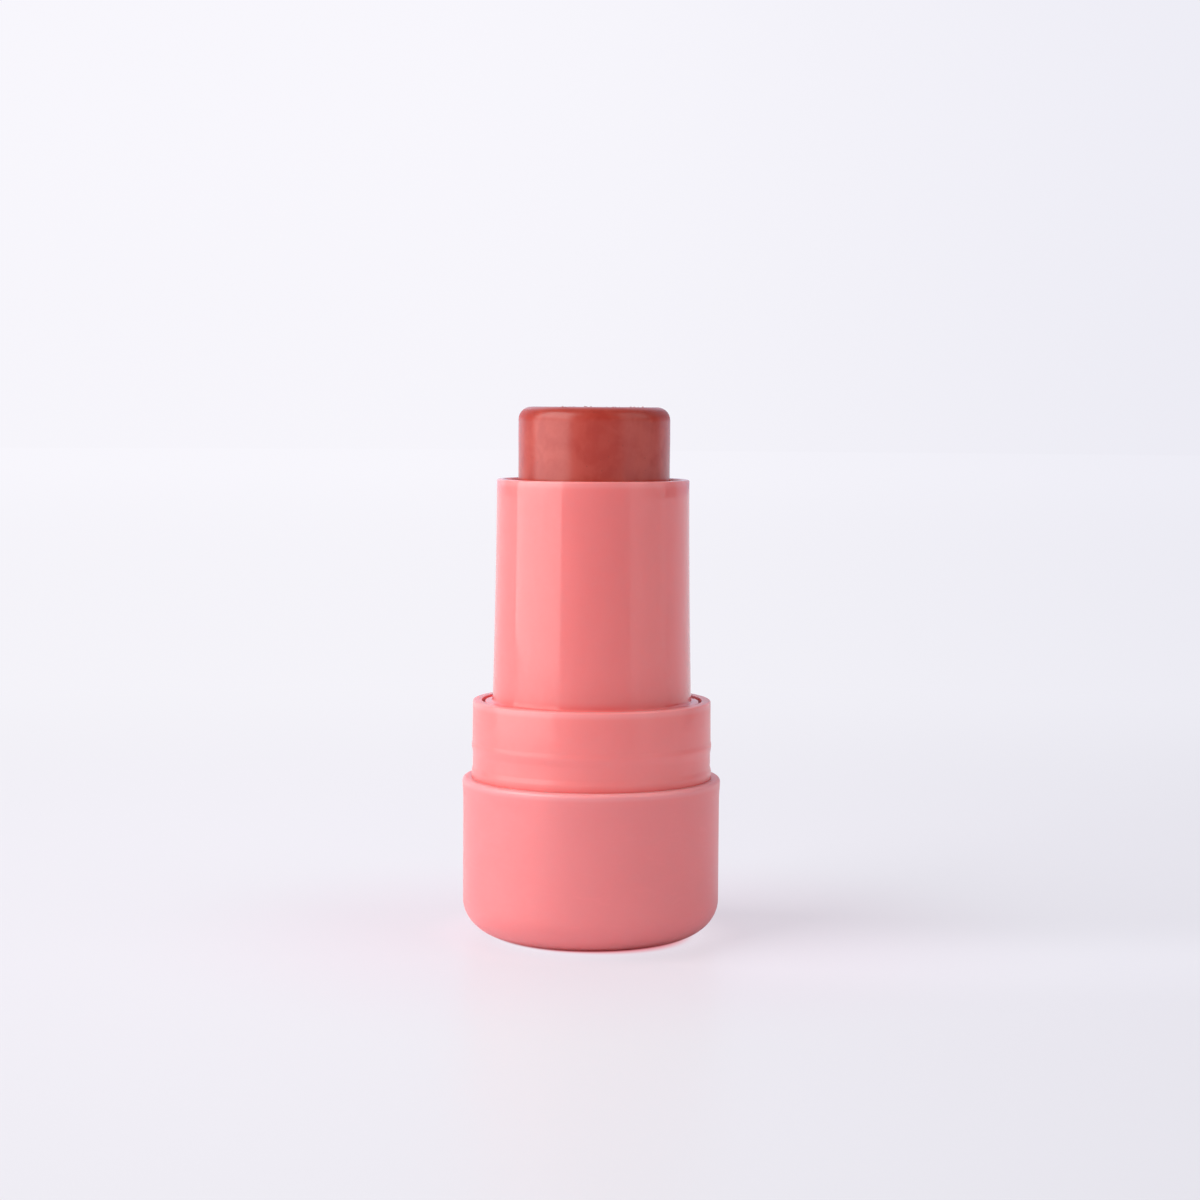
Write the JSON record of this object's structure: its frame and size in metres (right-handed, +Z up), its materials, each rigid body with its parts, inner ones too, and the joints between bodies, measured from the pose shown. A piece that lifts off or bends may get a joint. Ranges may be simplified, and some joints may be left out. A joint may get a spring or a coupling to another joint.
{
  "type": "blush stick",
  "caption": "Twist-up cream blush stick without its cap: round pink base, beaded neck ring, glossy tapered tube and a brick-red blush bullet raised by a helical cam.",
  "frame": {"origin": "centre of the foot on the surface that the stick stands on, which is the bottom centre of its bounding box", "axes": "+Z up along the turning axis, -Y towards the picture's camera, +X to the picture's right"},
  "size_m": [0.0284, 0.0284, 0.0582],
  "materials": {
    "base_soft_touch": "matte soft-touch pink",
    "neck_satin": "satin pink",
    "tube_gloss": "glossy pink",
    "mechanism_resin": "natural white resin, as moulded",
    "friction_silicone": "translucent silicone",
    "blush": "satin brick-red cream blush"
  },
  "bodies": {
    "base": {"base_cup": "base_soft_touch", "neck_insert": "neck_satin", "guide_tube": "mechanism_resin", "friction_ring": "friction_silicone"},
    "tube": {"tube_shell": "tube_gloss", "cam_sleeve": "mechanism_resin"},
    "carrier": {"carrier_cup": "mechanism_resin", "blush_bullet": "blush"}
  },
  "joints": [
    {"name": "tube_twist", "type": "hinge", "parent": "base", "child": "tube", "pos_m": [0, 0, 0.0261], "axis": [0, 0, -1], "range_deg": [-174, 252]},
    {"name": "carrier_slide", "type": "slide", "parent": "base", "child": "carrier", "axis": [0, 0, 1], "range_m": [-0.00871, 0.01261]}
  ],
  "couplings": [
    {"joint": "carrier_slide", "follows": "tube_twist", "m_per_rad": 0.0028648}
  ]
}
